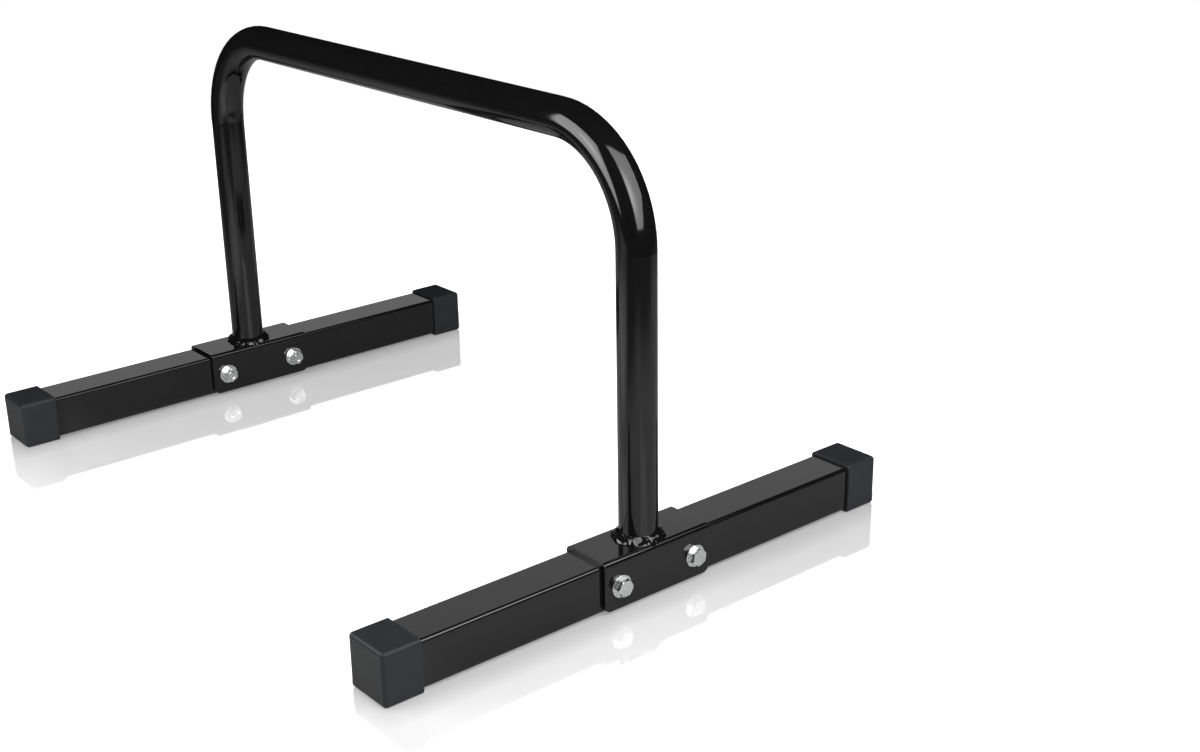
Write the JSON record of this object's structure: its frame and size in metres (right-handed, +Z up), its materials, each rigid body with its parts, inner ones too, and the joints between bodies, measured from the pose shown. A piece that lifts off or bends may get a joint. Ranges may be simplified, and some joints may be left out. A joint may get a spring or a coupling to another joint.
{
  "type": "parallette bar",
  "caption": "Free-standing floor bar for gymnastics: a bent round steel handle welded to saddle brackets that bolt over square-tube feet with push-on end caps.",
  "frame": {"origin": "on the floor, at the middle of the bar seen from above", "axes": "+X along the grip towards the front foot, +Y along the feet, +Z up"},
  "size_m": [0.686, 0.516, 0.384],
  "materials": {
    "black_gloss_paint": "high-gloss black baked paint on steel tube and plate",
    "black_cap": "matte dark grey-black moulded push-on cap",
    "zinc_plate": "bright zinc plating on hex bolts, nuts and washers"
  },
  "bodies": {
    "frame": {"handle_tube": "black_gloss_paint", "front_bracket": "black_gloss_paint", "front_weld_bead": "black_gloss_paint", "front_foot_tube": "black_gloss_paint", "front_left_bolt": "zinc_plate", "front_left_head_washer": "zinc_plate", "front_left_nut_washer": "zinc_plate", "front_left_nut": "zinc_plate", "front_right_bolt": "zinc_plate", "front_right_head_washer": "zinc_plate", "front_right_nut_washer": "zinc_plate", "front_right_nut": "zinc_plate", "rear_bracket": "black_gloss_paint", "rear_weld_bead": "black_gloss_paint", "rear_foot_tube": "black_gloss_paint", "rear_left_bolt": "zinc_plate", "rear_left_head_washer": "zinc_plate", "rear_left_nut_washer": "zinc_plate", "rear_left_nut": "zinc_plate", "rear_right_bolt": "zinc_plate", "rear_right_head_washer": "zinc_plate", "rear_right_nut_washer": "zinc_plate", "rear_right_nut": "zinc_plate"},
    "front_left_cap": {"front_left_end_cap": "black_cap"},
    "front_right_cap": {"front_right_end_cap": "black_cap"},
    "rear_left_cap": {"rear_left_end_cap": "black_cap"},
    "rear_right_cap": {"rear_right_end_cap": "black_cap"}
  },
  "joints": [
    {"name": "front_left_cap_pull", "type": "slide", "parent": "frame", "child": "front_left_cap", "axis": [0, -1, 0], "range_m": [0, 0.03]},
    {"name": "front_right_cap_pull", "type": "slide", "parent": "frame", "child": "front_right_cap", "axis": [0, 1, 0], "range_m": [0, 0.03]},
    {"name": "rear_left_cap_pull", "type": "slide", "parent": "frame", "child": "rear_left_cap", "axis": [0, -1, 0], "range_m": [0, 0.03]},
    {"name": "rear_right_cap_pull", "type": "slide", "parent": "frame", "child": "rear_right_cap", "axis": [0, 1, 0], "range_m": [0, 0.03]}
  ]
}
